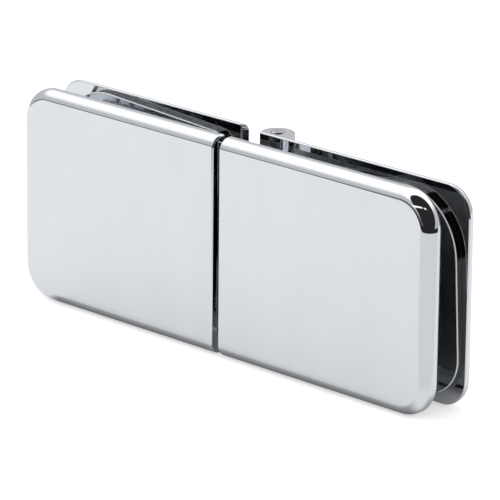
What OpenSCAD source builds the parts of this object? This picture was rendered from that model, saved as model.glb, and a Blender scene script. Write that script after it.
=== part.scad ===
// Hinged glass clamp for joining two glass panes edge to edge.
// Each half grips a pane between a crowned front cover and a hinge leaf behind it.
// X runs along the clamp, -Y is the front, +Z is up, and the origin is under the middle of the clamp.

/* [Covers] */
// Width of one front cover
cover_w = 55.4; // [48:0.2:70]
// Height of the covers
plate_h = 45; // [40:0.5:60]
// Gap between the two covers
cover_gap = 1.6; // [1:0.1:3]
// Radius of the covers' outer corners
cover_corner_r = 7.5; // [5:0.5:10]
// How deep the crowned edge reaches back from the face
edge_depth = 2.6; // [2:0.1:3.5]
// How far the flat face stops short of the cover's outline
edge_drop = 2; // [1.5:0.1:2.5]
// Straight side wall behind the crowned edge
cover_land = 0.8; // [0.4:0.1:2]
// Diameter of the tapped boss behind a cover
boss_d = 8; // [7:0.2:9]
// Length of the tapped boss
boss_len = 4; // [3:0.1:5]
// Metal left between a boss's tapped hole and the face
tap_floor = 1.6; // [1:0.1:2.2]

/* [Leaves] */
// How much lower than the covers the leaves end at the top
leaf_drop = 0.8; // [0:0.1:1.5]
// How much higher the left leaf sits than the right one
left_rise = 0.6; // [0:0.1:0.8]
// Radius of the leaves' outer corners
leaf_corner_r = 6; // [5:0.5:10]
// Radius of the rounded rear edge
leaf_edge_r = 2.2; // [1.6:0.1:3]
// Straight side wall in front of the rounded rear edge
leaf_land = 0.3; // [0.2:0.1:1.5]
// Distance of the left leaf's inner end from the middle
left_inset = 4.2; // [3:0.1:6]
// Distance of the right leaf's inner end from the middle
right_inset = 0.7; // [0.5:0.1:3]

/* [Glass and gaskets] */
// Thickness of the glass pane that each half grips
glass_t = 5; // [4:0.5:10]
// Thickness of a gasket sheet
gasket_t = 1.5; // [0.5:0.1:2]
// Border between a cover's outline and its gasket
cover_gasket_border = 1.2; // [0.8:0.1:2.5]
// Border between a leaf's outer end and its gasket
outer_border = 1.4; // [1:0.1:3]
// Border between a leaf's inner end and its gasket
inner_border = 4.3; // [2:0.1:6]
// Border above and below a leaf's gasket
end_border = 1.9; // [1.8:0.1:3]
// Radius of a leaf gasket's upper outer corner
gasket_upper_r = 13; // [8:0.5:14]
// Radius of a leaf gasket's lower outer corner
gasket_lower_r = 8; // [5:0.5:10]
// Radius of a leaf gasket's corners at its inner end
gasket_inner_r = 3; // [2:0.5:8]
// Angle by which each loose leaf gasket is turned on its leaf
gasket_turn = 3; // [0:0.2:3.4]
// How far the loose left leaf gasket lies above the middle of its leaf
left_gasket_lift = 1.3; // [0:0.1:1.4]
// How far the loose right leaf gasket lies below the middle of its leaf
right_gasket_sink = 0.6; // [0:0.1:0.8]

/* [Clamp screws] */
// Thread diameter of a clamp screw
screw_d = 4; // [3.5:0.1:4.4]
// Diameter of the countersunk head
head_d = 8; // [7.2:0.1:8.4]
// Width across the flats of the socket in the head
socket_w = 2.5; // [2:0.1:3]
// Depth of that socket
socket_depth = 1.4; // [1:0.1:1.8]
// Distance of the screws from the middle of the clamp
screw_x = 30; // [26:0.5:34]
// Height between the upper and the lower screw
screw_pitch = 22; // [18:0.5:24]
// How far a screw is screwed into its boss
thread_bite = 3.6; // [3:0.1:4.2]
// Gap around a screw in its tapped hole
thread_gap = 0.02; // [0.01:0.01:0.05]
// Gap around a screw in its leaf and gasket
screw_gap = 0.2; // [0.15:0.05:0.5]
// Outer diameter of the sleeve that fits the hole in the glass
sleeve_d = 11.5; // [10.5:0.1:13]
// Gap around a boss in its sleeve and around a sleeve in its gasket
sleeve_gap = 0.15; // [0.1:0.05:0.4]

/* [Hinge] */
// Diameter of the hinge barrel
barrel_d = 7; // [6.4:0.1:9]
// How far the barrel stops short of the leaves' ends
barrel_inset = 1.3; // [0.8:0.1:4]
// Height of the middle knuckle, which belongs to the left leaf
middle_len = 14; // [10:0.5:18]
// Diameter of the hinge pin
pin_d = 3; // [2:0.1:3.2]
// How far the pin stands out of the barrel at each end
pin_proud = 0.3; // [0.1:0.05:0.6]
// Wall of the plastic bushes on the pin
bush_wall = 0.8; // [0.6:0.05:1]
// Length of a bush inside the middle knuckle
bush_len = 5; // [3:0.1:5]
// Thickness of a bush's flange
flange_t = 0.7; // [0.5:0.1:1.2]
// How far a flange's rim lies inside the barrel's surface
flange_inset = 0.4; // [0.2:0.05:0.6]
// Gap around the pin in its bushes
pin_gap = 0.03; // [0.02:0.01:0.06]
// Gap between a flange and the knuckle that it turns on
flange_gap = 0.1; // [0.05:0.05:0.2]
// Room between the middle knuckle and the right leaf
knuckle_relief = 0.4; // [0.3:0.1:0.8]
// Length of the web that carries a knuckle, along its leaf
web_len = 7.5; // [5:0.5:9]

/* [Hidden] */
$fn = 96;

// Cuts run this far past the faces that they open
past = 1;
// Which end of the clamp a half lies at
left = -1;
right = 1;

cover_t = edge_depth + cover_land;
leaf_t = leaf_edge_r + leaf_land;
leaf_h = plate_h - leaf_drop;
slot_t = glass_t + 2 * gasket_t;
barrel_r = barrel_d / 2;
pin_r = pin_d / 2;
bush_r = pin_r + bush_wall;

// Planes from front to back, centred on the clamp's depth
depth = cover_t + slot_t + leaf_t + barrel_d;
face_y = -depth / 2;
cover_back_y = face_y + cover_t;
leaf_y = cover_back_y + slot_t;
leaf_back_y = leaf_y + leaf_t;
axis_y = leaf_back_y + barrel_r;
boss_end_y = cover_back_y + boss_len;
screw_tip_y = boss_end_y - thread_bite;

// Ends of the covers and leaves along X
cover_in_x = cover_gap / 2;
out_x = cover_in_x + cover_w;

// Arc of a cover's edge: it meets the side wall smoothly and the face at a soft crease
cover_arc_r = (edge_depth * edge_depth + edge_drop * edge_drop) / (2 * edge_drop);

// Heights of the screws and of the hinge's knuckles
upper_z = (plate_h + screw_pitch) / 2;
lower_z = (plate_h - screw_pitch) / 2;
middle_low_z = (leaf_h - middle_len) / 2;
middle_high_z = middle_low_z + middle_len;
flange_room = flange_t + flange_gap;
barrel_low_z = barrel_inset;
barrel_high_z = leaf_h - barrel_inset;

head_depth = (head_d - screw_d) / 2;
sleeve_len = gasket_t + glass_t;

// Section of a crowned edge: inset from the outline along x, depth behind the crowned face along y
module crowned_section(t, arc_r, arc_depth, reach) {
    intersection() {
        square([reach, t]);
        union() {
            translate([arc_r, 0]) square([reach, t]);
            translate([0, arc_depth]) square([reach, t]);
            translate([arc_r, arc_depth]) circle(arc_r);
        }
    }
}

// Plate with a crowned edge on three sides and a square end at x = 0; the crowned face is at y = 0
module crowned_plate(w, h, r, t, arc_r, arc_depth) {
    translate([0, 0, r]) cube([w - r, t, h - 2 * r]);
    translate([0, 0, h]) crowned_run(w - r, t, arc_r, arc_depth, r);
    mirror([0, 0, 1]) crowned_run(w - r, t, arc_r, arc_depth, r);
    translate([w, 0, r]) mirror([1, 0, 0])
        linear_extrude(h - 2 * r) crowned_section(t, arc_r, arc_depth, r);
    translate([w - r, 0, r]) crowned_corner(t, arc_r, arc_depth, r);
    translate([w - r, 0, h - r]) mirror([0, 0, 1]) crowned_corner(t, arc_r, arc_depth, r);
}

// Straight run of crowned edge along X, reaching down from z = 0
module crowned_run(len, t, arc_r, arc_depth, reach) {
    rotate([0, 90, 0]) linear_extrude(len) crowned_section(t, arc_r, arc_depth, reach);
}

// Quarter-turn corner of a crowned edge, towards +X and -Z
module crowned_corner(t, arc_r, arc_depth, r) {
    rotate([-90, 0, 0]) rotate_extrude(angle = 90)
        translate([r, 0]) mirror([1, 0]) crowned_section(t, arc_r, arc_depth, r);
}

// Round bar or hole along +Y, from one depth to another
module y_rod(x, z, r, from_y, to_y) {
    translate([x, from_y, z]) rotate([-90, 0, 0]) cylinder(r = r, h = to_y - from_y);
}

// Front cover with its two tapped bosses
module cover(side) {
    color("gainsboro") difference() {
        union() {
            mirror([side < 0 ? 1 : 0, 0, 0]) translate([cover_in_x, face_y, 0])
                crowned_plate(cover_w, plate_h, cover_corner_r, cover_t, cover_arc_r, edge_depth);
            for (z = [lower_z, upper_z])
                y_rod(side * screw_x, z, boss_d / 2, face_y + tap_floor, boss_end_y);
        }
        for (z = [lower_z, upper_z])
            y_rod(side * screw_x, z, screw_d / 2 + thread_gap, face_y + tap_floor, boss_end_y + past);
    }
}

// Flat leaf with its rounded rear edge and countersunk screw holes, before its knuckles are added
module leaf_blank(side, inset, rise) {
    difference() {
        mirror([side < 0 ? 1 : 0, 0, 0]) translate([inset, leaf_back_y, rise]) mirror([0, 1, 0])
            crowned_plate(out_x - inset, leaf_h, leaf_corner_r, leaf_t, leaf_edge_r, leaf_edge_r);
        for (z = [lower_z, upper_z]) {
            y_rod(side * screw_x, z, screw_d / 2 + screw_gap, leaf_y - past, leaf_back_y + past);
            screw_head(side * screw_x, z);
        }
    }
}

// Cone of a countersunk head, flush with the back of a leaf
module screw_head(x, z) {
    translate([x, leaf_back_y, z]) rotate([90, 0, 0])
        cylinder(r1 = head_d / 2, r2 = screw_d / 2, h = head_depth);
}

// One knuckle and the web that joins it to its leaf, whose inner end is at inset
module knuckle(side, inset, low_z, high_z) {
    foot_x = inset + web_len;
    lean = atan(barrel_r / foot_x);
    touch_angle = 90 - 2 * lean;
    touch_x = barrel_r * cos(touch_angle);
    touch_y = barrel_r * sin(touch_angle);
    translate([0, axis_y, low_z]) cylinder(r = barrel_r, h = high_z - low_z);
    translate([0, axis_y, low_z]) linear_extrude(high_z - low_z) mirror([side < 0 ? 1 : 0, 0])
        polygon([
            [0, 0], [0, -barrel_r], [inset, -barrel_r], [inset, -barrel_r - leaf_land],
            [foot_x, -barrel_r - leaf_land], [foot_x, -barrel_r], [touch_x, touch_y]
        ]);
}

// Hole along the hinge axis
module axis_hole(r) {
    translate([0, axis_y, -past]) cylinder(r = r, h = leaf_h + 2 * past);
}

module leaf_left() {
    color("gainsboro") difference() {
        union() {
            leaf_blank(left, left_inset, left_rise);
            knuckle(left, left_inset, middle_low_z, middle_high_z);
        }
        axis_hole(bush_r);
    }
}

module leaf_right() {
    color("gainsboro") difference() {
        union() {
            difference() {
                leaf_blank(right, right_inset, 0);
                translate([0, axis_y, middle_low_z - flange_room])
                    cylinder(r = barrel_r + knuckle_relief, h = middle_len + 2 * flange_room);
            }
            knuckle(right, right_inset, barrel_low_z, middle_low_z - flange_room);
            knuckle(right, right_inset, middle_high_z + flange_room, barrel_high_z);
        }
        axis_hole(pin_r);
    }
}

// Square with four corner radii, from the lower left corner and anticlockwise
module rounded_square(w, h, radii) {
    difference() {
        square([w, h]);
        corner_waste(radii[0]);
        translate([w, 0]) mirror([1, 0]) corner_waste(radii[1]);
        translate([w, h]) rotate(180) corner_waste(radii[2]);
        translate([0, h]) mirror([0, 1]) corner_waste(radii[3]);
    }
}

// What is cut off the corner at the origin to round it
module corner_waste(r) {
    difference() {
        translate([-past, -past]) square(r + past);
        translate([r, r]) circle(r);
    }
}

// Sheet drawn in X and Z that reaches from one depth to another
module upright_sheet(from_y, t) {
    translate([0, from_y + t, 0]) rotate([90, 0, 0]) linear_extrude(t) children();
}

// Smoke-tinted gasket behind a cover, with a hole around each sleeve
module cover_gasket(side) {
    w = cover_w - 2 * cover_gasket_border;
    h = plate_h - 2 * cover_gasket_border;
    r = cover_corner_r - cover_gasket_border;
    hole_r = sleeve_d / 2 + sleeve_gap;
    color("darkgray", 0.6) difference() {
        upright_sheet(cover_back_y, gasket_t) mirror([side < 0 ? 1 : 0, 0])
            translate([cover_in_x + cover_gasket_border, cover_gasket_border])
                rounded_square(w, h, [r, r, r, r]);
        for (z = [lower_z, upper_z])
            y_rod(side * screw_x, z, hole_r, cover_back_y - past, cover_back_y + gasket_t + past);
    }
}

// Clear gasket on a leaf; it lies loose, turned a little about its middle, and its holes pass the screws
module leaf_gasket(side, inset, lift) {
    w = out_x - inset - inner_border - outer_border;
    h = leaf_h - 2 * end_border;
    color("lightgrey", 0.6) difference() {
        upright_sheet(leaf_y - gasket_t, gasket_t) mirror([side < 0 ? 1 : 0, 0])
            translate([inset + inner_border + w / 2, leaf_h / 2 + lift]) rotate(gasket_turn)
                translate([-w / 2, -h / 2]) rounded_square(
                    w, h, [gasket_inner_r, gasket_lower_r, gasket_upper_r, gasket_inner_r]);
        for (z = [lower_z, upper_z])
            y_rod(side * screw_x, z, screw_d / 2 + screw_gap, leaf_y - gasket_t - past, leaf_y + past);
    }
}

// Plastic sleeve over a boss, which keeps the metal off the hole in the glass
module sleeve(side, z) {
    end_y = cover_back_y + sleeve_len;
    color("dimgray") difference() {
        y_rod(side * screw_x, z, sleeve_d / 2, cover_back_y, end_y);
        y_rod(side * screw_x, z, boss_d / 2 + sleeve_gap, cover_back_y - past, end_y + past);
    }
}

// Countersunk socket screw from the back of a leaf into a cover's boss
module clamp_screw(side, z) {
    color("silver") difference() {
        union() {
            y_rod(side * screw_x, z, screw_d / 2, screw_tip_y, leaf_back_y);
            screw_head(side * screw_x, z);
        }
        translate([side * screw_x, leaf_back_y + past, z]) rotate([90, 0, 0])
            cylinder(d = socket_w / cos(30), h = socket_depth + past, $fn = 6);
    }
}

// Hinge pin, pressed into the right leaf's knuckles, with a chamfered end at each end
module hinge_pin() {
    color("silver") {
        translate([0, axis_y, barrel_low_z]) cylinder(r = pin_r, h = barrel_high_z - barrel_low_z);
        translate([0, axis_y, barrel_high_z]) cylinder(r1 = pin_r, r2 = pin_r - pin_proud, h = pin_proud);
        translate([0, axis_y, barrel_low_z - pin_proud])
            cylinder(r1 = pin_r - pin_proud, r2 = pin_r, h = pin_proud);
    }
}

// Flanged bush at the top of the middle knuckle, standing on that knuckle's end at z = 0
module knuckle_bush() {
    color("whitesmoke") difference() {
        union() {
            cylinder(r = barrel_r - flange_inset, h = flange_t);
            translate([0, 0, -bush_len]) cylinder(r = bush_r, h = bush_len);
        }
        translate([0, 0, -bush_len - past])
            cylinder(r = pin_r + pin_gap, h = bush_len + flange_t + 2 * past);
    }
}

module knuckle_bush_upper() {
    translate([0, axis_y, middle_high_z]) knuckle_bush();
}

module knuckle_bush_lower() {
    translate([0, axis_y, middle_low_z]) mirror([0, 0, 1]) knuckle_bush();
}

cover(left);  // cover_left
cover(right);  // cover_right
leaf_left();
leaf_right();
cover_gasket(left);  // cover_gasket_left
cover_gasket(right);  // cover_gasket_right
leaf_gasket(left, left_inset, left_gasket_lift);  // leaf_gasket_left
leaf_gasket(right, right_inset, -right_gasket_sink);  // leaf_gasket_right
sleeve(left, upper_z);  // sleeve_left_upper
sleeve(left, lower_z);  // sleeve_left_lower
sleeve(right, upper_z);  // sleeve_right_upper
sleeve(right, lower_z);  // sleeve_right_lower
clamp_screw(left, upper_z);  // screw_left_upper
clamp_screw(left, lower_z);  // screw_left_lower
clamp_screw(right, upper_z);  // screw_right_upper
clamp_screw(right, lower_z);  // screw_right_lower
hinge_pin();
knuckle_bush_upper();
knuckle_bush_lower();
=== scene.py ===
import bpy
import numpy as np
from mathutils import Matrix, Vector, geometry


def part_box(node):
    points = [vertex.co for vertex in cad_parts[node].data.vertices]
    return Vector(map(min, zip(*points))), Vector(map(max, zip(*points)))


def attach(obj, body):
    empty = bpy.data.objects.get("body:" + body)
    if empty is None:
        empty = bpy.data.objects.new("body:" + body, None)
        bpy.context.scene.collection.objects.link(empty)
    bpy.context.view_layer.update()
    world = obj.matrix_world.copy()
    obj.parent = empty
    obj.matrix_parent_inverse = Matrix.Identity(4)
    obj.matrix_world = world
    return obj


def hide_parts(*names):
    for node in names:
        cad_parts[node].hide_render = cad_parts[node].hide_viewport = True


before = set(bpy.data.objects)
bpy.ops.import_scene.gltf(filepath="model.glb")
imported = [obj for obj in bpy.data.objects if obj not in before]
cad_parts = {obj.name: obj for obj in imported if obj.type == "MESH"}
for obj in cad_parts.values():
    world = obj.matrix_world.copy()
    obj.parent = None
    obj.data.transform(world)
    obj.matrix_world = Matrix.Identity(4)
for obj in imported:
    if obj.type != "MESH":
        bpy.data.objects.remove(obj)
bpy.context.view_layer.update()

# Front covers. Each is a cast plate with three crowned edges and a square inner end, ground, polished
# and chrome plated, and its back is left as it was cast. Two bosses on the back are tapped for screws.
cover_low, cover_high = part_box("cover_right")
cover_back_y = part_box("cover_gasket_right")[0].y
screw_low, screw_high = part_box("screw_right_lower")
screw_x = (screw_low.x + screw_high.x) / 2
lower_z = (screw_low.z + screw_high.z) / 2
upper_z = sum(corner.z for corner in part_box("screw_right_upper")) / 2
SIDES = {"left": -1, "right": 1}
COVER_CORNER_R = 0.0075
CROWN_DEPTH = 0.0026
CROWN_DROP = 0.002
CREASE_R = 0.0016
COVER_EDGE_R = 0.0004
BOSS_R = 0.004
BOSS_BORE_R = 0.00202
RIM_WIDTH = 0.005
CROWN_STEPS = 28
CORNER_STEPS = 20
EDGE_STEPS = 6
ROLL_STEPS = 5
ROUND_STEPS = 96
WELD_PER_M = 1e7


def arc(centre, radius, start, stop, steps=10):
    """Points of a circle from one angle in degrees to another, and the directions away from its centre."""
    angle = np.radians(np.linspace(start, stop, steps))
    outward = np.stack([np.cos(angle), np.sin(angle)], axis=-1)
    return np.asarray(centre) + radius * outward, outward


def edge_section(arcs, thickness):
    """A plate's edge as inset from its outline and depth behind its first face: the arcs in turn, joined
    by straight stretches, between the two flats at the rim's inner border."""
    points = [[[RIM_WIDTH, 0]], *[a[0] for a in arcs], [[RIM_WIDTH, thickness]]]
    normals = [[[0, -1]], *[a[1] for a in arcs], [[0, 1]]]
    return np.concatenate(points), np.concatenate(normals)


def cover_section(thickness):
    """A cover's edge: a small round at the crease, which touches the face and the crown's arc, then the
    crown, which turns into the side wall, and a broken edge at the back."""
    crown_r = (CROWN_DEPTH**2 + CROWN_DROP**2) / (2 * CROWN_DROP)
    between = crown_r - CREASE_R
    drop = CROWN_DEPTH - CREASE_R
    crease = (crown_r - np.sqrt(between**2 - drop**2), CREASE_R)
    tilt = np.degrees(np.arccos(drop / between))
    crown, crown_normals = arc((crown_r, CROWN_DEPTH), crown_r, -90 - tilt, -180, CROWN_STEPS)
    return edge_section([
        arc(crease, CREASE_R, -90, -90 - tilt),
        (crown[1:], crown_normals[1:]),
        arc((COVER_EDGE_R, thickness - COVER_EDGE_R), COVER_EDGE_R, -180, -270, EDGE_STEPS),
    ], thickness)


class Skin:
    """Patches of one piece's surface, gathered before they are welded into a mesh."""

    def __init__(self, offset=(0, 0, 0), signs=(1, 1, 1)):
        self.offset, self.signs = np.array(offset, float), np.array(signs, float)
        self.points, self.normals = np.empty((0, 3)), np.empty((0, 3))
        self.faces, self.coats = [], []

    def add(self, points, normals, faces, coat=0):
        """Adds points, the outward directions there, and faces as rows of indices into them. The coat is
        the place of the faces' finish among the piece's materials."""
        self.faces.append(np.asarray(faces) + len(self.points))
        self.coats.append(coat)
        self.points = np.concatenate([self.points, self.offset + self.signs * points.reshape(-1, 3)])
        self.normals = np.concatenate([self.normals, self.signs * normals.reshape(-1, 3)])

    def grid(self, points, normals, wrap_rows=False, wrap_columns=False, coat=0):
        """A surface of two parameters: each cell of the grid is one four-sided face."""
        rows, columns = points.shape[:2]
        index = np.arange(rows * columns).reshape(rows, columns)
        index = np.concatenate([index, index[:1]]) if wrap_rows else index
        index = np.concatenate([index, index[:, :1]], axis=1) if wrap_columns else index
        cells = np.stack([index[:-1, :-1], index[1:, :-1], index[1:, 1:], index[:-1, 1:]], axis=-1)
        self.add(points, normals, cells.reshape(-1, 4), coat)

    def flat(self, loops, normal, coat=0):
        """A flat face inside its first loop of points and outside the others."""
        points = np.concatenate(loops)
        triangles = geometry.tessellate_polygon([loop.tolist() for loop in loops])
        self.add(points, np.tile(np.array(normal, float), (len(points), 1)), triangles, coat)

    def piece(self, name, *materials, crisp=None):
        """The welded mesh as an object. Four-sided faces with a side shrunk to a point become three-sided.
        Faces are turned to agree with the outward directions, which each face corner keeps for its
        shading, unless crisp gives the angle past which edges show."""
        places = np.round(self.points * WELD_PER_M)
        _, first, weld = np.unique(places, axis=0, return_index=True, return_inverse=True)
        weld = weld.ravel()
        rows, coats = [], []
        for faces, coat in zip(self.faces, self.coats):
            double = weld[faces] == weld[np.roll(faces, 1, axis=1)]
            pinched = double.any(axis=1)
            rows += [faces[~pinched], faces[pinched][~double[pinched]].reshape(-1, 3)]
            coats.append(np.full(len(faces), coat))
        for index, faces in enumerate(rows):
            corners = self.points[faces]
            facing = np.cross(corners, np.roll(corners, -1, axis=1)).sum(axis=1)
            inward = (facing * self.normals[faces].mean(axis=1)).sum(axis=-1) < 0
            rows[index] = np.where(inward[:, None], faces[:, ::-1], faces)
        mesh = bpy.data.meshes.new(name)
        welded = [face for faces in rows for face in weld[faces].tolist()]
        mesh.from_pydata(self.points[first].tolist(), [], welded)
        if crisp is None:
            mesh.normals_split_custom_set(np.concatenate([self.normals[faces.ravel()] for faces in rows]))
        else:
            mesh.set_sharp_from_angle(angle=np.radians(crisp))
        for material in materials:
            mesh.materials.append(material)
        mesh.polygons.foreach_set("material_index", np.concatenate(coats))
        piece = bpy.data.objects.new(name, mesh)
        bpy.context.scene.collection.objects.link(piece)
        return piece


def rimmed_plate(skin, section, normals, width, height, corner_r, end_r, holes=(), back_coat=0):
    """A plate with its inner end at x = 0 and its first face at depth 0. The edge's section is carried
    along the bottom, the outer end and the top, with a quarter turn at each corner, and over the inner
    end's edge it sinks and turns by the same angle. Flats with round holes close the faces and the end."""
    roll = np.radians(np.linspace(90, 0, ROLL_STEPS))
    quarter = np.radians(np.linspace(-90, 0, CORNER_STEPS))
    corner = np.zeros(2 * CORNER_STEPS)
    turn = np.concatenate([roll, corner, roll[::-1]])
    heading = np.concatenate([roll * 0 - np.pi / 2, quarter, quarter + np.pi / 2, roll * 0 + np.pi / 2])
    end_x = end_r * (1 - np.sin(roll))
    centre_x = np.concatenate([end_x, corner + width - corner_r, end_x[::-1]])
    centre_z = np.where(np.arange(len(turn)) < len(turn) / 2, corner_r, height - corner_r)
    sink = end_r * (1 - np.cos(turn))[:, None]
    reach = corner_r - section[:, 0] + sink * normals[:, 0]
    depth = section[:, 1] - sink * normals[:, 1]
    out_x, out_z, upright = np.cos(heading)[:, None], np.sin(heading)[:, None], np.cos(turn)[:, None]
    points = np.stack([
        centre_x[:, None] + reach * out_x,
        depth,
        centre_z[:, None] + reach * out_z,
    ], axis=-1)
    facing = np.stack([
        -upright * normals[:, 0] * out_x - np.sin(turn)[:, None],
        upright * normals[:, 1],
        -upright * normals[:, 0] * out_z,
    ], axis=-1)
    skin.grid(points, facing)
    for side, normal, coat in ((0, (0, -1, 0), 0), (-1, (0, 1, 0), back_coat)):
        rim = points[ROLL_STEPS - 1:1 - ROLL_STEPS, side]
        skin.flat([rim, *[hole[side] for hole in holes]], normal, coat)
        ends = [points[:ROLL_STEPS, side], points[-ROLL_STEPS:, side][::-1]]
        skin.grid(np.stack(ends, axis=1), np.stack([facing[:ROLL_STEPS, side]] * 2, axis=1))
    skin.flat([np.concatenate([points[0], points[-1, ::-1]])], (-1, 0, 0))


def across(axis, a, b, height):
    """Points from two coordinates across an axis and a height along it: X and Y across Z, or X and Z
    across Y."""
    order = (a, b, height) if axis == "z" else (a, height, b)
    return np.stack(np.broadcast_arrays(*order), axis=-1)


def turned(skin, axis, centre, section, normals, closed=True):
    """A section of radius and height carried round an axis, as on a lathe."""
    angle = np.linspace(0, 2 * np.pi, ROUND_STEPS, endpoint=False)[:, None]
    radius, height = np.asarray(section, float).T
    tilt, lift = np.asarray(normals, float).T
    points = across(axis, centre[0] + radius * np.cos(angle), centre[1] + radius * np.sin(angle), height)
    facing = across(axis, tilt * np.cos(angle), tilt * np.sin(angle), lift)
    skin.grid(points, facing, wrap_rows=True, wrap_columns=closed)


def rounded_loop(corners, radii, steps=4):
    """A closed outline, anticlockwise, with an arc at each corner that touches both sides. The outward
    direction is to the right of the way round, and turns evenly along each arc."""
    corners = np.asarray(corners, float)
    radii = np.broadcast_to(radii, len(corners))[:, None]
    ahead = np.roll(corners, -1, axis=0) - corners
    ahead /= np.linalg.norm(ahead, axis=1, keepdims=True)
    behind = np.roll(ahead, 1, axis=0)
    swerve = behind[:, 0] * ahead[:, 1] - behind[:, 1] * ahead[:, 0]
    bend = np.arctan2(swerve, (behind * ahead).sum(axis=1))
    side = np.sign(bend)[:, None]
    outward = np.stack([behind[:, 1], -behind[:, 0]], axis=-1)
    centre = corners - behind * radii * np.tan(np.abs(bend) / 2)[:, None] - side * radii * outward
    swing = bend[:, None] * np.linspace(0, 1, steps)
    normals = np.stack([
        np.cos(swing) * outward[:, :1] - np.sin(swing) * outward[:, 1:],
        np.sin(swing) * outward[:, :1] + np.cos(swing) * outward[:, 1:],
    ], axis=-1)
    points = centre[:, None] + (side * radii)[:, None] * normals
    return points.reshape(-1, 2), normals.reshape(-1, 2)


def turned_ring(skin, axis, centre, inner_r, outer_r, low, high, edge_r):
    """A ring of rectangular section with rounded edges."""
    corners = [(inner_r, low), (outer_r, low), (outer_r, high), (inner_r, high)]
    turned(skin, axis, centre, *rounded_loop(corners, edge_r))


DRIFT_SPAN = (0.3, 0.7)
DRIFT_DETAIL = 5
RELIEF_DEPTH = 0.0001


def finish(name, base, rough, grain, stretch=(1, 1, 1), bump=0.0):
    """A material whose colour and roughness drift between two values with a noise in object space.
    base and rough are the two ends, grain is the noise's scale per metre, and stretch its scale along
    each axis."""
    material = bpy.data.materials.new(name)
    material.use_nodes = True
    nodes, links = material.node_tree.nodes, material.node_tree.links
    shader = nodes["Principled BSDF"]
    place = nodes.new("ShaderNodeTexCoord")
    mapping = nodes.new("ShaderNodeMapping")
    mapping.inputs["Scale"].default_value = stretch
    noise = nodes.new("ShaderNodeTexNoise")
    noise.inputs["Scale"].default_value = grain
    noise.inputs["Detail"].default_value = DRIFT_DETAIL
    colour = nodes.new("ShaderNodeValToRGB")
    for stop, position, tint in zip(colour.color_ramp.elements, DRIFT_SPAN, base):
        stop.position, stop.color = position, (*tint, 1)
    gloss = nodes.new("ShaderNodeMapRange")
    gloss.inputs["From Min"].default_value, gloss.inputs["From Max"].default_value = DRIFT_SPAN
    gloss.inputs["To Min"].default_value, gloss.inputs["To Max"].default_value = rough
    links.new(place.outputs["Object"], mapping.inputs["Vector"])
    links.new(mapping.outputs["Vector"], noise.inputs["Vector"])
    links.new(noise.outputs["Fac"], colour.inputs["Fac"])
    links.new(noise.outputs["Fac"], gloss.inputs["Value"])
    links.new(colour.outputs["Color"], shader.inputs["Base Color"])
    links.new(gloss.outputs["Result"], shader.inputs["Roughness"])
    if bump:
        relief = nodes.new("ShaderNodeBump")
        relief.inputs["Strength"].default_value = bump
        relief.inputs["Distance"].default_value = RELIEF_DEPTH
        links.new(noise.outputs["Fac"], relief.inputs["Height"])
        links.new(relief.outputs["Normal"], shader.inputs["Normal"])
    return material, shader


CHROME_COLOURS = ((0.735, 0.760, 0.800), (0.765, 0.788, 0.826))
chrome, chrome_shader = finish(
    "polished_chrome", CHROME_COLOURS, rough=(0.02, 0.05), grain=90, stretch=(1, 1, 0.35))
chrome_shader.inputs["Metallic"].default_value = 1.0
CAST_COLOURS = ((0.60, 0.61, 0.62), (0.74, 0.75, 0.76))
cast, cast_shader = finish("plated_casting", CAST_COLOURS, rough=(0.40, 0.55), grain=900, bump=0.12)
cast_shader.inputs["Metallic"].default_value = 1.0

cover_t = cover_back_y - cover_low.y
for name, side in SIDES.items():
    skin = Skin((side * cover_low.x, cover_low.y, 0), (side, 1, 1))
    section, normals = cover_section(cover_t)
    width, height = cover_high.x - cover_low.x, cover_high.z
    rimmed_plate(skin, section, normals, width, height, COVER_CORNER_R, COVER_EDGE_R, back_coat=1)
    boss_end = cover_high.y - cover_low.y
    for z in (lower_z, upper_z):
        boss_at = (screw_x - cover_low.x, z)
        turned_ring(skin, "y", boss_at, BOSS_BORE_R, BOSS_R, cover_t, boss_end, COVER_EDGE_R)
    cover = skin.piece(f"front_cover_{name}", chrome, cast)
    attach(cover, f"{name}_half")
    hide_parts(f"cover_{name}")

# Cover gaskets. Each is a sheet of faintly smoke-tinted soft vinyl, die cut with a hole for each sleeve,
# that clings to the back of its cover and keeps the glass off the metal.
COVER_GASKET_R = 0.0063
COVER_GASKET_HOLE_R = 0.0059
COVER_GASKET_STEPS = 16
SHEET_EDGE_R = 0.0002
# By a hair, sheets sink into the metal that they lie on, and sleeves stay clear of what is around them
HAIR = 0.00002
SMOKE_COLOURS = ((0.80, 0.81, 0.82), (0.86, 0.87, 0.88))
VINYL_IOR = 1.5
smoke, smoke_shader = finish("smoke_vinyl", SMOKE_COLOURS, rough=(0.02, 0.05), grain=220)
smoke_shader.inputs["Transmission Weight"].default_value = 1.0
smoke_shader.inputs["IOR"].default_value = VINYL_IOR


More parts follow.
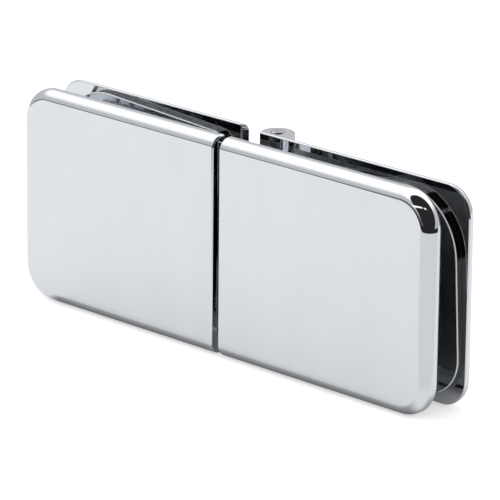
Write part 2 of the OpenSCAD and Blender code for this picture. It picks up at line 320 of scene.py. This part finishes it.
def slab(skin, axis, outline, normals, low, high, edge_r, holes=(), coat=0):
    """An outline carried along an axis from one height to another. Over each edge it sinks and turns by
    the same angle. Holes are circles, each a centre and a radius, with a straight wall. The low edge has
    its own coat."""
    rise = np.linspace(0, 90, ROLL_STEPS)
    turn = np.radians(np.concatenate([rise - 90, rise]))[:, None]
    ends = np.where(np.arange(len(turn)) < ROLL_STEPS, low + edge_r, high - edge_r)[:, None]
    sink = edge_r * (1 - np.cos(turn))
    height = ends + edge_r * np.sin(turn)
    a, b = (outline[:, side] - sink * normals[:, side] for side in (0, 1))
    points = across(axis, a, b, height)
    facing = across(axis, np.cos(turn) * normals[:, 0], np.cos(turn) * normals[:, 1], np.sin(turn))
    skin.grid(points[:ROLL_STEPS], facing[:ROLL_STEPS], wrap_columns=True, coat=coat)
    skin.grid(points[ROLL_STEPS - 1:], facing[ROLL_STEPS - 1:], wrap_columns=True)
    for end, level, sign in ((0, low, -1), (-1, high, 1)):
        rims = [hole_rim(axis, centre, radius, level) for centre, radius in holes]
        skin.flat([points[end], *rims], across(axis, 0, 0, sign))
    for centre, radius in holes:
        turned(skin, axis, centre, [(radius, low), (radius, high)], [(-1, 0), (-1, 0)], closed=False)


def hole_rim(axis, centre, radius, level):
    """A circle across an axis, with the points that a turned wall has there."""
    angle = np.linspace(0, 2 * np.pi, ROUND_STEPS, endpoint=False)
    return across(axis, centre[0] + radius * np.cos(angle), centre[1] + radius * np.sin(angle), level)


for name, side in SIDES.items():
    low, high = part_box("cover_gasket_right")
    skin = Skin(signs=(side, 1, 1))
    corners = [(low.x, low.z), (high.x, low.z), (high.x, high.z), (low.x, high.z)]
    outline, normals = rounded_loop(corners, COVER_GASKET_R, COVER_GASKET_STEPS)
    holes = [((screw_x, z), COVER_GASKET_HOLE_R) for z in (lower_z, upper_z)]
    slab(skin, "y", outline, normals, low.y - HAIR, high.y, SHEET_EDGE_R, holes)
    gasket = skin.piece(f"cover_sheet_{name}", smoke)
    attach(gasket, f"{name}_half")
    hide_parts(f"cover_gasket_{name}")

# Sleeves. Short moulded tubes of black nylon, pushed over the bosses, which line the holes in the
# glass so that no metal touches it.
SLEEVE_BORE_R = 0.00415
SLEEVE_EDGE_R = 0.0003
DARK_COLOURS = ((0.022, 0.022, 0.024), (0.040, 0.040, 0.043))
dark_nylon, _ = finish("black_nylon", DARK_COLOURS, rough=(0.40, 0.55), grain=700, bump=0.15)

for name in SIDES:
    for level in ("upper", "lower"):
        low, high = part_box(f"sleeve_{name}_{level}")
        middle = (low + high) / 2
        skin = Skin()
        turned_ring(
            skin, "y", (middle.x, middle.z), SLEEVE_BORE_R, (high.x - low.x) / 2,
            low.y + HAIR, high.y - HAIR, SLEEVE_EDGE_R)
        sleeve = skin.piece(f"glass_sleeve_{name}_{level}", dark_nylon)
        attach(sleeve, f"{name}_half")
        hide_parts(f"sleeve_{name}_{level}")

# Hinge leaves. Cast plates with a rounded rear edge, a square inner end and countersunk screw holes.
# The hinge's knuckles stand on webs behind them, and all of it is polished and chrome plated.
leaf_low, leaf_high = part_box("leaf_right")
pin_low, pin_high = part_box("hinge_pin")
axis_y = (pin_low.y + pin_high.y) / 2
bush_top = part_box("knuckle_bush_upper")[1].z
bush_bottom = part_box("knuckle_bush_lower")[0].z
LEAF_INSET = {"left": 0.0042, "right": 0.0007}
LEAF_CORNER_R = 0.006
LEAF_REAR_R = 0.0022
LEAF_EDGE_R = 0.0003
REAR_STEPS = 24
SCREW_HOLE_R = 0.0022
SCREW_HEAD_R = 0.004
FLANGE_T = 0.0007
FLANGE_GAP = 0.0001
FLANGE_REACH = 0.0008
PIN_PROUD = 0.0003
KNUCKLE_EDGE_R = 0.0003
KNUCKLE_STEPS = 64
WEB_LEN = 0.0075
WEB_BURY = 0.0003
barrel_r = leaf_high.y - axis_y
leaf_back_y = axis_y - barrel_r
leaf_t = leaf_back_y - leaf_low.y
pin_r = (pin_high.x - pin_low.x) / 2
middle_knuckle = (bush_bottom + FLANGE_T, bush_top - FLANGE_T)
KNUCKLES = {
    "left": [middle_knuckle],
    "right": [
        (pin_low.z + PIN_PROUD, bush_bottom - FLANGE_GAP),
        (bush_top + FLANGE_GAP, pin_high.z - PIN_PROUD),
    ],
}
KNUCKLE_BORE_R = {"left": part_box("knuckle_bush_upper")[1].x - FLANGE_REACH, "right": pin_r}


def leaf_section(thickness):
    """A leaf's edge from its back: the rear round, a short side wall and a broken front edge."""
    return edge_section([
        arc((LEAF_REAR_R, LEAF_REAR_R), LEAF_REAR_R, -90, -180, REAR_STEPS),
        arc((LEAF_EDGE_R, thickness - LEAF_EDGE_R), LEAF_EDGE_R, -180, -270, EDGE_STEPS),
    ], thickness)


def knuckle_outline(inset):
    """A knuckle and its web seen along the pin, about the pin's axis: the barrel's circle, and a straight
    line that touches it and comes down to the leaf's back at the web's foot."""
    foot = np.array([inset + WEB_LEN, -barrel_r])
    touch = np.degrees(np.pi / 2 - 2 * np.arctan(barrel_r / foot[0]))
    round_points, round_normals = arc((0, 0), barrel_r, touch, 270, KNUCKLE_STEPS)
    slope = (foot - round_points[0]) / np.linalg.norm(foot - round_points[0])
    buried_foot = foot + slope * WEB_BURY / -slope[1]
    inner_end = [[inset, -barrel_r], [inset + WEB_BURY, -barrel_r - WEB_BURY]]
    points = [[buried_foot], round_points, inner_end]
    normals = [round_normals[:1], round_normals, [[0, -1], [0, -1]]]
    return np.concatenate(points), np.concatenate(normals)


for name, side in SIDES.items():
    inset = LEAF_INSET[name]
    low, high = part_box(f"leaf_{name}")
    skin = Skin((side * inset, leaf_back_y, low.z), (side, -1, 1))
    hole_x = screw_x - inset
    hole_levels = (lower_z - low.z, upper_z - low.z)
    sink_depth = SCREW_HEAD_R - SCREW_HOLE_R
    rims = [
        [hole_rim("y", (hole_x, z), SCREW_HEAD_R, 0), hole_rim("y", (hole_x, z), SCREW_HOLE_R, leaf_t)]
        for z in hole_levels
    ]
    section, normals = leaf_section(leaf_t)
    width = cover_high.x - inset
    rimmed_plate(skin, section, normals, width, high.z - low.z, LEAF_CORNER_R, LEAF_EDGE_R, rims)
    cone = [(SCREW_HEAD_R, 0), (SCREW_HOLE_R, sink_depth)]
    wall = [(SCREW_HOLE_R, sink_depth), (SCREW_HOLE_R, leaf_t)]
    for z in hole_levels:
        turned(skin, "y", (hole_x, z), cone, [(-np.sqrt(0.5), -np.sqrt(0.5))] * 2, closed=False)
        turned(skin, "y", (hole_x, z), wall, [(-1, 0)] * 2, closed=False)
    skin.offset, skin.signs = np.array([0, axis_y, 0]), np.array([side, 1, 1])
    outline, normals = knuckle_outline(inset)
    bore = [((0, 0), KNUCKLE_BORE_R[name])]
    for bottom, top in KNUCKLES[name]:
        slab(skin, "z", outline, normals, bottom, top, KNUCKLE_EDGE_R, bore)
    leaf = skin.piece(f"hinge_leaf_{name}", chrome)
    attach(leaf, f"{name}_half")
    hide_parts(f"leaf_{name}")

# Leaf gaskets. Clear vinyl sheets, die cut with wide corners, that lie loose on the leaves: each has
# slipped and turned a little, and its cut edge catches the light.
GASKET_INNER_BORDER = 0.0043
GASKET_OUTER_BORDER = 0.0014
GASKET_END_BORDER = 0.0019
GASKET_RADII = (0.003, 0.008, 0.013, 0.003)
GASKET_TURN = np.radians(3)
GASKET_LIFT = {"left": 0.0013, "right": -0.0006}
GASKET_HOLE_R = 0.0022
GASKET_STEPS = 20
VINYL_COLOURS = ((0.88, 0.90, 0.90), (0.94, 0.96, 0.96))
vinyl, vinyl_shader = finish("clear_vinyl", VINYL_COLOURS, rough=(0.03, 0.08), grain=220)
vinyl_shader.inputs["Transmission Weight"].default_value = 1.0
vinyl_shader.inputs["IOR"].default_value = VINYL_IOR
CUT_COLOURS = ((0.70, 0.72, 0.72), (0.82, 0.84, 0.84))
cut_vinyl, _ = finish("cut_clear_vinyl", CUT_COLOURS, rough=(0.4, 0.55), grain=2200, bump=0.2)

for name, side in SIDES.items():
    low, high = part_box(f"leaf_gasket_{name}")
    inset = LEAF_INSET[name]
    half = np.array([
        cover_high.x - inset - GASKET_INNER_BORDER - GASKET_OUTER_BORDER,
        leaf_high.z - 2 * GASKET_END_BORDER,
    ]) / 2
    middle = np.array([inset + GASKET_INNER_BORDER + half[0], leaf_high.z / 2 + GASKET_LIFT[name]])
    corners = half * [[-1, -1], [1, -1], [1, 1], [-1, 1]]
    outline, normals = rounded_loop(corners, GASKET_RADII, GASKET_STEPS)
    cosine, sine = np.cos(GASKET_TURN), np.sin(GASKET_TURN)
    turn = np.array([[cosine, sine], [-sine, cosine]])
    skin = Skin(signs=(side, 1, 1))
    holes = [((screw_x, z), GASKET_HOLE_R) for z in (lower_z, upper_z)]
    slab(
        skin, "y", middle + outline @ turn, normals @ turn,
        low.y, high.y + HAIR, SHEET_EDGE_R, holes, coat=1)
    gasket = skin.piece(f"leaf_sheet_{name}", vinyl, cut_vinyl)
    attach(gasket, f"{name}_half")
    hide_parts(f"leaf_gasket_{name}")

# Clamp screws. Countersunk stainless screws with a hexagon socket, driven from behind through the
# leaf and its gasket into the cover's boss. Their heads end flush with the leaf.
SOCKET_HALF_W = 0.00125
SOCKET_DEPTH = 0.0014
SOCKET_CHAMFER = 0.00015
SOCKET_TIP_SHARE = 0.3
SCREW_GAP = 0.0002
HEAD_GAP = 0.00006
HEAD_EDGE = 0.00012
STEEL_COLOURS = ((0.50, 0.50, 0.51), (0.60, 0.60, 0.61))
steel, steel_shader = finish("turned_steel", STEEL_COLOURS, rough=(0.16, 0.30), grain=2600, bump=0.2)
steel_shader.inputs["Metallic"].default_value = 1.0


def socket_screw(skin, centre, back_y, tip_y, shank_r):
    """A screw as rings round its axis, from the socket's floor over the head to the tip. A ring's radius
    is a hexagon's inside the socket and a circle's outside it, and each ring has its own height."""
    angle = np.linspace(0, 2 * np.pi, ROUND_STEPS, endpoint=False)
    hexagon = SOCKET_HALF_W / np.cos((angle + np.pi / 6) % (np.pi / 3) - np.pi / 6)
    head_r = SCREW_HEAD_R - HEAD_GAP
    neck = head_r - shank_r
    rings = [
        (SOCKET_TIP_SHARE, 0, SOCKET_DEPTH + SOCKET_CHAMFER), (1, 0, SOCKET_DEPTH), (1, 0, SOCKET_CHAMFER),
        (1 + SOCKET_CHAMFER / SOCKET_HALF_W, 0, 0), (0, head_r - 2 * HEAD_EDGE, 0),
        (0, head_r - HEAD_EDGE, HEAD_EDGE / 2), (0, head_r - HEAD_EDGE, HEAD_EDGE),
        (0, shank_r, HEAD_EDGE + neck), (0, shank_r, back_y - tip_y - HEAD_EDGE),
        (0, shank_r - HEAD_EDGE, back_y - tip_y),
    ]
    share, circle, depth = np.array(rings).T[:, :, None]
    radius = share * hexagon + circle
    a, b = centre[0] + radius * np.cos(angle), centre[1] + radius * np.sin(angle)
    points = across("y", a, b, back_y - depth)
    facing = points - np.roll(points, ROUND_STEPS // 2, axis=1)
    skin.grid(points, facing, wrap_columns=True)
    skin.flat([points[0]], (0, 1, 0))
    skin.flat([points[-1]], (0, -1, 0))


for name in SIDES:
    for level in ("upper", "lower"):
        low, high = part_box(f"screw_{name}_{level}")
        middle = (low + high) / 2
        skin = Skin()
        socket_screw(skin, (middle.x, middle.z), high.y, low.y, SCREW_HOLE_R - SCREW_GAP)
        screw = skin.piece(f"socket_screw_{name}_{level}", steel, crisp=30)
        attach(screw, f"{name}_half")
        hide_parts(f"screw_{name}_{level}")

# Knuckle bushes. Flanged bushes of white nylon, pressed into both ends of the middle knuckle, so that
# the hinge turns on plastic.
PIN_GAP = 0.00003
BUSH_BORE_R = pin_r + PIN_GAP
BUSH_EDGE_R = 0.0001
NYLON_COLOURS = ((0.70, 0.69, 0.65), (0.78, 0.77, 0.74))
NYLON_MILKINESS = 0.15
NYLON_LIGHT_DEPTH = (0.001, 0.001, 0.0008)
nylon, nylon_shader = finish("white_nylon", NYLON_COLOURS, rough=(0.42, 0.58), grain=700, bump=0.15)
nylon_shader.inputs["Subsurface Weight"].default_value = NYLON_MILKINESS
nylon_shader.inputs["Subsurface Radius"].default_value = NYLON_LIGHT_DEPTH

for level in ("upper", "lower"):
    low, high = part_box(f"knuckle_bush_{level}")
    flange_r = high.x
    body_r = KNUCKLE_BORE_R["left"]
    flange_z, up = (high.z, 1) if level == "upper" else (low.z, -1)
    skin = Skin((0, axis_y, flange_z), (1, 1, up))
    length = high.z - low.z
    corners = [
        (BUSH_BORE_R, -length), (body_r, -length), (body_r, -FLANGE_T),
        (flange_r, -FLANGE_T), (flange_r, 0), (BUSH_BORE_R, 0),
    ]
    turned(skin, "z", (0, 0), *rounded_loop(corners, BUSH_EDGE_R))
    bush = skin.piece(f"flanged_bush_{level}", nylon)
    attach(bush, "left_half")
    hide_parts(f"knuckle_bush_{level}")

# Hinge pin. A turned stainless pin with rounded ends, pressed through the right leaf's knuckles, with
# the bushes turning on it.
PIN_END_STEPS = 8
end_r = pin_r - PIN_PROUD
lower_round, lower_normals = arc((end_r, pin_low.z + PIN_PROUD), PIN_PROUD, -90, 0, PIN_END_STEPS)
upper_round, upper_normals = arc((end_r, pin_high.z - PIN_PROUD), PIN_PROUD, 0, 90, PIN_END_STEPS)
section = np.concatenate([lower_round, upper_round])
normals = np.concatenate([lower_normals, upper_normals])
skin = Skin((0, axis_y, 0))
turned(skin, "z", (0, 0), section, normals, closed=False)
skin.flat([hole_rim("z", (0, 0), end_r, pin_low.z)], (0, 0, -1))
skin.flat([hole_rim("z", (0, 0), end_r, pin_high.z)], (0, 0, 1))
pin = skin.piece("round_hinge_pin", steel)
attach(pin, "right_half")
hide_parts("hinge_pin")

# Studio. A pale floor in a pale room, with a softbox up on the left. The floor has a painted shade towards
# the right front. Only polished metal shows the floor with a painted contact shadow at the covers' foot, a
# painted shade under the clamp where its real shade shows more, and a painted dark reflection on the
# right, and beyond it the bright ceiling, a dark skirting in front, and a black screen on the right with
# two strip lamps in line.
FLOOR_HALF = 0.5
FLOOR_COLOURS = ((0.79, 0.79, 0.79), (0.81, 0.81, 0.81))
FLOOR_WHITE = 0.50
FLOOR_GLOW = 0.48
FLOOR_MIRRORED = 0.60
# Painted shade under the clamp: within these edges glossy and transmission rays lose most of the floor's
# glow, and glossy rays see more of its real lit shade.
SHADED_GLOW = 0.06
SHADED_LIT = 0.85
SHADED_EDGES = (
    ((1, 0, 0), -0.0560, -0.0620), ((1, 0, 0), 0.0560, 0.0620),
    ((0, 1, 0), -0.0065, -0.0090), ((0, 1, 0), 0.0100, 0.0140),
)
# Painted shade: the floor's colour is darker towards the right front, for every ray.
PAINTED_RIGHT_SHADE = 0.84
PAINTED_RIGHT_SHADE_ALONG = (1, -0.978, 0)
PAINTED_RIGHT_SHADE_FROM = (0.065, 0.095)
# Painted dark reflection: within the painted shade on the right, past a reach from this point, glossy rays
# see the floor nearly black, at the screen's level.
PAINTED_DARK_FROM = (0.045, -0.005, 0)
PAINTED_DARK_R = (0.135, 0.155)
# Painted contact shadow: glossy rays see the floor dark along the covers' foot, within these edges.
PAINTED_FOOT_SHADOW_LEVEL = 0.25
PAINTED_FOOT_SHADOW_EDGES = (
    ((1, 0, 0), -0.0465, -0.0505), ((1, 0, 0), 0.0505, 0.0545),
    ((0, 1, 0), -0.0080, -0.0180), ((0, 1, 0), -0.0080, -0.0062),
)
ROOM_LIGHT = 0.92
WALL_LEVELS = ((0.0, 0.58), (0.46, 0.66), (0.66, 1.35))
SKIRTING_LEVEL = 0.12
SKIRTING_HALF = 0.09
SKIRTING_TOWARDS = (0, -1, 0)
SKIRTING_ANGLES = (55, 80)
SCREEN_TOWARDS = (0.66, -0.46, 0.60)
SCREEN_ANGLES = (57, 60)
SCREEN_LEVEL = 0.025
STRIP_ACROSS = (-0.646, 0.383, 0.660)
STRIP_HALF = 0.05
STRIP_TOWARDS = (0.21, -0.76, 0.62)
STRIP_ANGLES = (39, 42)
STRIP_BREAK = (0.465, -0.51, 0.724)
BREAK_ANGLES = (3, 6)
STRIP_LEVEL = 1.4
SOFTBOX_SIZE = (0.30, 0.40)
SOFTBOX_AT = (-0.42, -0.04, 0.43)
SOFTBOX_POWER = 0.55


def combined(tree, operation, *values):
    """The result of one arithmetic node on sockets or plain numbers."""
    node = tree.nodes.new("ShaderNodeMath")
    node.operation = operation
    for socket, value in zip(node.inputs, values):
        if isinstance(value, bpy.types.NodeSocket):
            tree.links.new(value, socket)
        else:
            socket.default_value = value
    return node.outputs[0]


def over(tree, under, level, share):
    """A level laid over another by a share from 0 to 1."""
    change = combined(tree, "SUBTRACT", level, under)
    return combined(tree, "ADD", under, combined(tree, "MULTIPLY", change, share))


def along(tree, vector, axis):
    """How far a vector reaches along an axis."""
    dot = tree.nodes.new("ShaderNodeVectorMath")
    dot.operation = "DOT_PRODUCT"
    dot.inputs[1].default_value = axis
    tree.links.new(vector, dot.inputs[0])
    return dot.outputs["Value"]


def fading(tree, value, full, none):
    """1 where a value is at full or past it, fading softly to 0 at none."""
    fade = tree.nodes.new("ShaderNodeMapRange")
    fade.interpolation_type = "SMOOTHSTEP"
    fade.inputs["From Min"].default_value, fade.inputs["From Max"].default_value = none, full
    tree.links.new(value, fade.inputs["Value"])
    return fade.outputs["Result"]


def within(tree, direction, towards, angles):
    """1 within the first of two angles in degrees from a direction, fading to 0 at the second."""
    nearness = along(tree, direction, towards / np.linalg.norm(towards))
    return fading(tree, nearness, *np.cos(np.radians(angles)))


def bounded(tree, share, place, edges):
    """A share that fades to 0 past each edge, which is an axis, where it is full and where it is none."""
    for axis, full, none in edges:
        share = combined(tree, "MULTIPLY", share, fading(tree, along(tree, place, axis), full, none))
    return share


room = bpy.data.worlds.new("pale_room")
room.use_nodes = True
bpy.context.scene.world = room
tree = room.node_tree
direction = tree.nodes.new("ShaderNodeTexCoord").outputs["Generated"]
height = along(tree, direction, (0, 0, 1))
wall = tree.nodes.new("ShaderNodeValToRGB")
for index, (position, level) in enumerate(WALL_LEVELS):
    stop = wall.color_ramp.elements[index] if index < 2 else wall.color_ramp.elements.new(position)
    stop.position, stop.color = position, (level, level, level, 1)
tree.links.new(height, wall.inputs["Fac"])
low_band = fading(tree, combined(tree, "ABSOLUTE", height), SKIRTING_HALF / 2, SKIRTING_HALF)
in_front = within(tree, direction, SKIRTING_TOWARDS, SKIRTING_ANGLES)
skirting = combined(tree, "MULTIPLY", low_band, in_front)
screen = within(tree, direction, SCREEN_TOWARDS, SCREEN_ANGLES)
across_strip = combined(tree, "ABSOLUTE", along(tree, direction, STRIP_ACROSS))
strip = fading(tree, across_strip, STRIP_HALF / 2, STRIP_HALF)
strip = combined(tree, "MULTIPLY", strip, within(tree, direction, STRIP_TOWARDS, STRIP_ANGLES))
strip = over(tree, strip, 0.0, within(tree, direction, STRIP_BREAK, BREAK_ANGLES))
shown = over(tree, wall.outputs["Color"], SKIRTING_LEVEL, skirting)
shown = over(tree, over(tree, shown, SCREEN_LEVEL, screen), STRIP_LEVEL, strip)
path = tree.nodes.new("ShaderNodeLightPath")
white = combined(tree, "MAXIMUM", path.outputs["Is Camera Ray"], path.outputs["Is Transmission Ray"])
lit = over(tree, over(tree, ROOM_LIGHT, shown, path.outputs["Is Glossy Ray"]), 1.0, white)
tree.links.new(lit, tree.nodes["Background"].inputs["Strength"])
tree.nodes["Background"].inputs["Color"].default_value = (1, 1, 1, 1)

paper, paper_shader = finish("pale_floor", FLOOR_COLOURS, rough=(0.85, 0.95), grain=30)
tree = paper.node_tree
place = tree.nodes.new("ShaderNodeTexCoord").outputs["Object"]
path = tree.nodes.new("ShaderNodeLightPath")
mirrored = path.outputs["Is Glossy Ray"]
# Painted shade towards the right front of the floor.
painted_right_shade = fading(tree, along(tree, place, PAINTED_RIGHT_SHADE_ALONG), PAINTED_RIGHT_SHADE_FROM[1], PAINTED_RIGHT_SHADE_FROM[0])
# Painted dark reflection on the right, seen only by glossy rays.
reach = tree.nodes.new("ShaderNodeVectorMath")
reach.operation = "DISTANCE"
reach.inputs[1].default_value = PAINTED_DARK_FROM
tree.links.new(place, reach.inputs[0])
painted_dark_reflection = fading(tree, reach.outputs["Value"], PAINTED_DARK_R[1], PAINTED_DARK_R[0])
painted_dark_reflection = combined(tree, "MULTIPLY", combined(tree, "MULTIPLY", painted_right_shade, painted_dark_reflection), mirrored)
# Painted contact shadow at the covers' foot, seen only by glossy rays.
foot = bounded(tree, mirrored, place, PAINTED_FOOT_SHADOW_EDGES)
# Painted shade under the clamp, where more of the floor's real shade shows too.
shaded = bounded(tree, 1.0, place, SHADED_EDGES)
level = over(tree, over(tree, 1.0, PAINTED_RIGHT_SHADE, painted_right_shade), SCREEN_LEVEL, painted_dark_reflection)
level = over(tree, level, PAINTED_FOOT_SHADOW_LEVEL, foot)
lit_share = over(tree, 1.0, over(tree, FLOOR_MIRRORED, SHADED_LIT, shaded), mirrored)
shade = tree.nodes.new("ShaderNodeVectorMath")
shade.operation = "SCALE"
tree.links.new(paper_shader.inputs["Base Color"].links[0].from_socket, shade.inputs[0])
tree.links.new(combined(tree, "MULTIPLY", level, lit_share), shade.inputs["Scale"])
tree.links.new(shade.outputs["Vector"], paper_shader.inputs["Base Color"])
shown = combined(tree, "MAXIMUM", mirrored, path.outputs["Is Transmission Ray"])
glow = combined(tree, "MULTIPLY", shown, over(tree, FLOOR_GLOW, SHADED_GLOW, shaded))
glow = combined(tree, "MULTIPLY", glow, level)
glow = over(tree, glow, FLOOR_WHITE, path.outputs["Is Camera Ray"])
tree.links.new(glow, paper_shader.inputs["Emission Strength"])
paper_shader.inputs["Emission Color"].default_value = (1, 1, 1, 1)
paper_shader.inputs["Specular IOR Level"].default_value = 0.0
skin = Skin()
skin.flat([FLOOR_HALF * np.array([[-1, -1, 0], [1, -1, 0], [1, 1, 0], [-1, 1, 0]])], (0, 0, 1))
floor = skin.piece("studio_floor", paper)

softbox = bpy.data.objects.new("softbox", bpy.data.lights.new("softbox", "AREA"))
softbox.data.shape = "RECTANGLE"
softbox.data.size, softbox.data.size_y = SOFTBOX_SIZE
softbox.data.energy = SOFTBOX_POWER
softbox.location = SOFTBOX_AT
softbox.rotation_euler = (0, -np.arctan2(-SOFTBOX_AT[0], SOFTBOX_AT[2]), 0)
softbox.visible_camera = False
softbox.visible_glossy = False
bpy.context.scene.collection.objects.link(softbox)

# Camera. A long lens from the front right and a little above. Its place, its turn and its focal length
# were fitted to the clamp's edges.
AZIMUTH, ELEVATION, ROLL = np.radians([44.35, 17.16, 0.55])
DISTANCE = 0.805
FOCAL_PX = 4064.5
FRAME_PX = 500
SENSOR_MM = 36
TARGET = np.array([0, -0.00245, 0.0225])
TARGET_PX = np.array([243.5, 239.94])
level_right = np.array([np.cos(AZIMUTH), np.sin(AZIMUTH), 0])
level_ahead = np.array([-np.sin(AZIMUTH), np.cos(AZIMUTH), 0])
ahead = np.cos(ELEVATION) * level_ahead - np.sin(ELEVATION) * np.array([0, 0, 1])
level_up = np.cross(level_right, ahead)
right = np.cos(ROLL) * level_right + np.sin(ROLL) * level_up
up = np.cos(ROLL) * level_up - np.sin(ROLL) * level_right
off_x, off_y = (FRAME_PX / 2 - TARGET_PX) / FOCAL_PX
back = -(ahead + off_x * right - off_y * up)
back /= np.linalg.norm(back)
right -= back * (right @ back)
right /= np.linalg.norm(right)
camera = bpy.data.objects.new("camera", bpy.data.cameras.new("camera"))
camera.data.sensor_width = SENSOR_MM
camera.data.lens = SENSOR_MM * FOCAL_PX / FRAME_PX
pose = np.eye(4)
pose[:3] = np.stack([right, np.cross(back, right), back, TARGET - DISTANCE * ahead], axis=1)
camera.matrix_world = Matrix(pose.tolist())
bpy.context.scene.collection.objects.link(camera)
bpy.context.scene.camera = camera
bpy.context.scene.view_settings.view_transform = "Standard"
